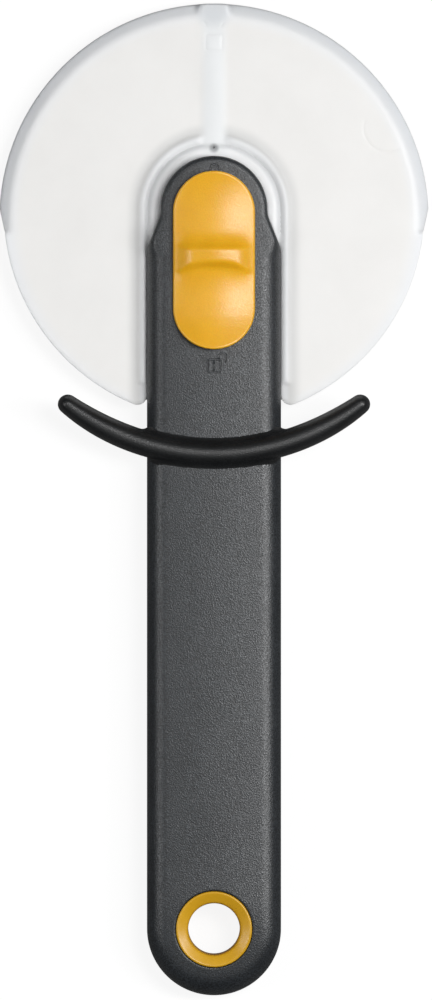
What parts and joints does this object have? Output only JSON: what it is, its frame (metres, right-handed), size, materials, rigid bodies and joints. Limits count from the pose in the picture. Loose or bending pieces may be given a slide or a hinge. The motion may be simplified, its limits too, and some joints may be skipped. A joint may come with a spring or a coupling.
{
  "type": "pizza cutter wheel",
  "caption": "Hand-held pizza cutter: flat grained handle with one arm, removable round blade, sliding release button, curved finger guard, frosted slide-off blade guard and hanging ring.",
  "frame": {"origin": "centre of the bounding box on the surface that the cutter's back lies on", "axes": "+Z out of the front face, with the button, +Y from the hanging ring to the wheel, +X to the right seen from the front"},
  "size_m": [0.0998, 0.231, 0.0184],
  "materials": {
    "handle": "grained dark grey polyamide",
    "finger_guard": "glossy black elastomer",
    "button": "satin orange acetal",
    "ring": "glossy orange-yellow polypropylene",
    "blade_guard": "frosted translucent polypropylene",
    "hub": "fine-grained black acetal",
    "blade_steel": "fine circular brushing, ground edge",
    "steel": "turned or rolled stainless steel",
    "spring_steel": "blued spring steel",
    "screw_steel": "bright zinc plating",
    "bearing": "turned bearing bronze"
  },
  "bodies": {
    "handle": {"handle_front_shell": "handle", "handle_back_shell": "handle", "finger_guard": "finger_guard", "hanging_ring": "ring", "handle_screws": "screw_steel", "axle_socket": "bearing", "lock_cover": "steel", "cover_screws": "screw_steel", "detent_spring": "spring_steel", "axle_pin": "steel", "axle_clip": "spring_steel", "front_washer": "steel", "back_washer": "steel"},
    "wheel": {"cutting_blade": "blade_steel", "hub_bush": "bearing", "front_hub_plate": "hub", "back_hub_plate": "hub", "hub_rivets": "screw_steel"},
    "release_slider": {"release_button": "button", "lock_plate": "steel", "button_screws": "screw_steel"},
    "wheel_cover": {"blade_guard": "blade_guard"}
  },
  "joints": [
    {"name": "wheel_spin", "type": "hinge", "parent": "handle", "child": "wheel", "pos_m": [0, 0.0655, 0.004], "axis": [0, 0, 1], "continuous": true},
    {"name": "release_slide", "type": "slide", "parent": "handle", "child": "release_slider", "axis": [0, -1, 0], "range_m": [0, 0.0065], "deforming": ["detent_spring"]},
    {"name": "guard_slide", "type": "slide", "parent": "handle", "child": "wheel_cover", "axis": [0, 1, 0], "range_m": [0, 0.1]}
  ]
}
